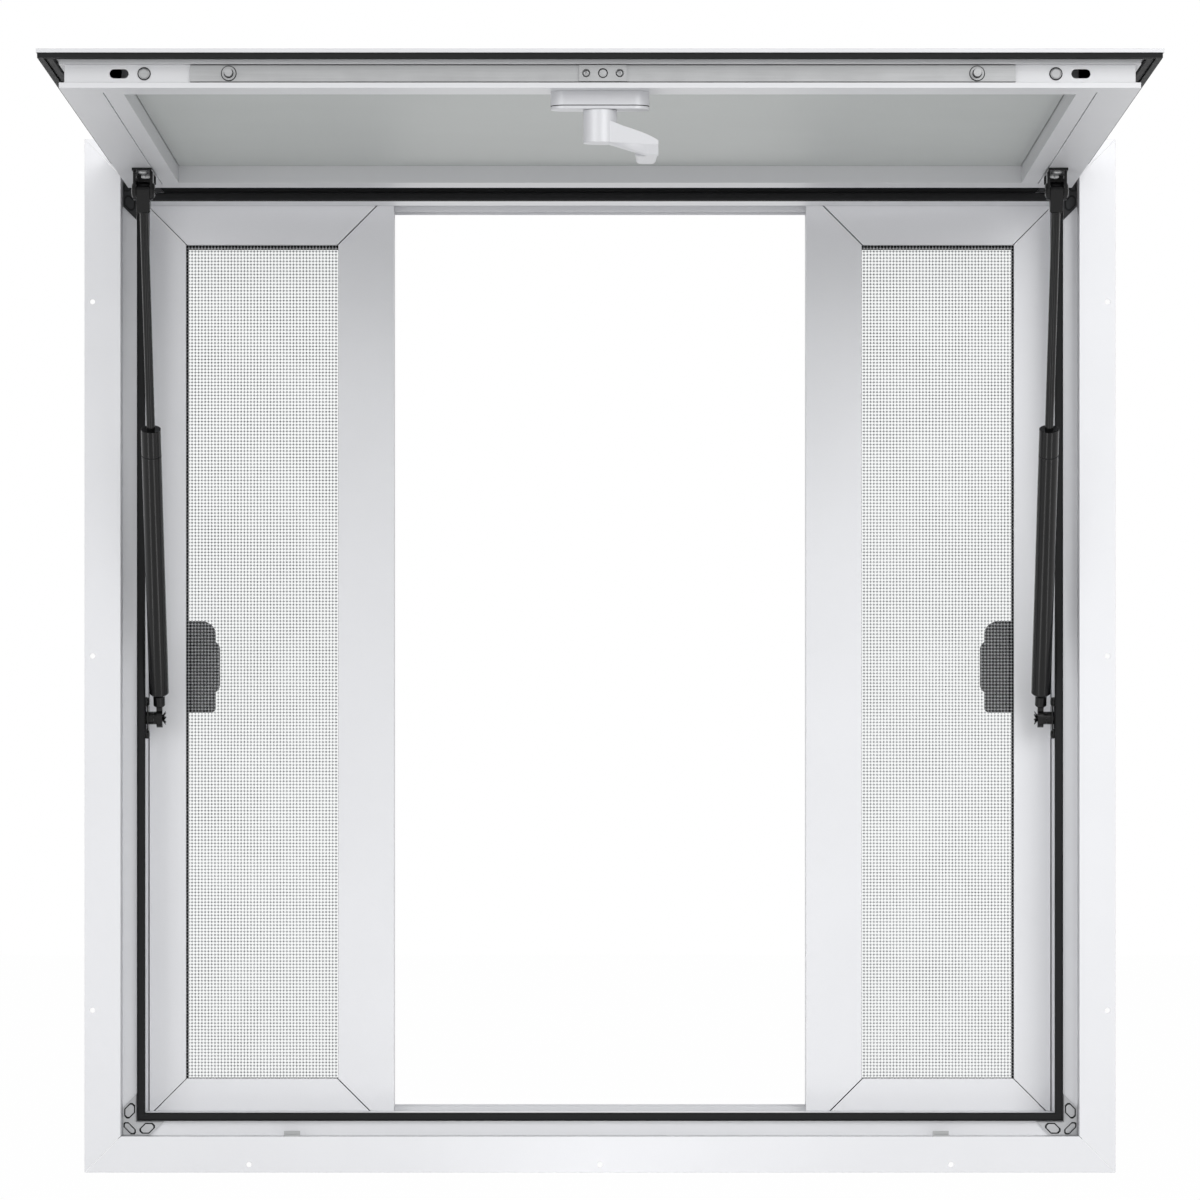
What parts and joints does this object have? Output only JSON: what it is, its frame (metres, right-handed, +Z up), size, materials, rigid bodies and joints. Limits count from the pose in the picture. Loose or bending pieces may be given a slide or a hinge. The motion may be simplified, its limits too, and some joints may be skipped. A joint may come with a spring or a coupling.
{
  "type": "concession window",
  "caption": "Flanged wall window with a top-hung awning door that lifts on gas struts, a turning lever with a sliding lock bar, and mesh screens beside an open serving hatch.",
  "frame": {"origin": "on the back face of the sill flange, midway along it and midway across its strip", "axes": "+X along the sill to the right as seen from outside, +Y into the wall, +Z up"},
  "size_m": [0.972, 1.0703, 0.974],
  "materials": {
    "satin_aluminium": "satin anodised",
    "door_aluminium": "satin anodised",
    "lining_sheet": "matte sheet",
    "black_rubber": "matte",
    "zinc_steel": "zinc plated",
    "handle_metal": "silver paint",
    "strut_black": "semi-gloss black",
    "rod_steel": "black nitrided",
    "screen_mesh": "woven wire",
    "clear_pane": "clear",
    "black_plastic": "moulded"
  },
  "bodies": {
    "frame": {"frame_sill": "satin_aluminium", "frame_head": "satin_aluminium", "frame_jamb_left": "satin_aluminium", "frame_jamb_right": "satin_aluminium", "corner_keys": "zinc_steel", "frame_seal": "black_rubber", "hinge_rail": "satin_aluminium", "latch_keepers": "zinc_steel", "strut_foot_brackets": "strut_black", "outer_screen_left_stiles": "satin_aluminium", "outer_screen_left_rails": "satin_aluminium", "inner_screen_left_stiles": "satin_aluminium", "inner_screen_left_rails": "satin_aluminium", "outer_screen_left_mesh": "screen_mesh", "inner_screen_left_pane": "clear_pane", "screen_pull_left": "black_plastic", "outer_screen_right_stiles": "satin_aluminium", "outer_screen_right_rails": "satin_aluminium", "inner_screen_right_stiles": "satin_aluminium", "inner_screen_right_rails": "satin_aluminium", "outer_screen_right_mesh": "screen_mesh", "inner_screen_right_pane": "clear_pane", "screen_pull_right": "black_plastic"},
    "door": {"door_skin": "door_aluminium", "door_flap_seal": "black_rubber", "door_lining": "lining_sheet", "door_hinge_socket": "door_aluminium", "handle_base": "handle_metal", "strut_clevises": "strut_black", "door_rail_front": "door_aluminium", "door_rail_back": "door_aluminium", "door_rail_left": "door_aluminium", "door_rail_right": "door_aluminium"},
    "handle": {"handle_lever": "handle_metal"},
    "lock": {"lock_bar": "zinc_steel", "lock_drive_block": "zinc_steel", "lock_pins": "zinc_steel"},
    "strut_rod_left": {"strut_rod_left": "rod_steel", "strut_eye_left": "strut_black"},
    "strut_tube_left": {"strut_tube_left": "strut_black", "strut_foot_left": "strut_black"},
    "strut_rod_right": {"strut_rod_right": "rod_steel", "strut_eye_right": "strut_black"},
    "strut_tube_right": {"strut_tube_right": "strut_black", "strut_foot_right": "strut_black"}
  },
  "joints": [
    {"name": "door_hinge", "type": "hinge", "parent": "frame", "child": "door", "pos_m": [0, -0.011, 0.9398], "axis": [1, 0, 0], "range_deg": [0, 90]},
    {"name": "handle_turn", "type": "hinge", "parent": "door", "child": "handle", "pos_m": [0, -0.8918, 0.88], "axis": [0, 0, 1], "range_deg": [0, 90]},
    {"name": "lock_slide", "type": "slide", "parent": "door", "child": "lock", "axis": [1, 0, 0], "range_m": [0, 0.013]},
    {"name": "left_rod_pivot", "type": "hinge", "parent": "door", "child": "strut_rod_left", "pos_m": [-0.4175, -0.211, 0.8898], "axis": [1, 0, 0], "range_deg": [-117.64, 0]},
    {"name": "left_tube_slide", "type": "slide", "parent": "strut_rod_left", "child": "strut_tube_left", "axis": [0, 0.4639, -0.8859], "range_m": [-0.2115, 0]},
    {"name": "right_rod_pivot", "type": "hinge", "parent": "door", "child": "strut_rod_right", "pos_m": [0.4175, -0.211, 0.8898], "axis": [1, 0, 0], "range_deg": [-117.64, 0]},
    {"name": "right_tube_slide", "type": "slide", "parent": "strut_rod_right", "child": "strut_tube_right", "axis": [0, 0.4639, -0.8859], "range_m": [-0.2115, 0]}
  ],
  "couplings": [
    {"joint": "lock_slide", "follows": "handle_turn", "m_per_rad": 0.0082761},
    {"joint": "left_rod_pivot", "follows": "door_hinge", "ratio": -1.3071},
    {"joint": "left_tube_slide", "follows": "door_hinge", "m_per_rad": -0.13464},
    {"joint": "right_rod_pivot", "follows": "door_hinge", "ratio": -1.3071},
    {"joint": "right_tube_slide", "follows": "door_hinge", "m_per_rad": -0.13464}
  ]
}
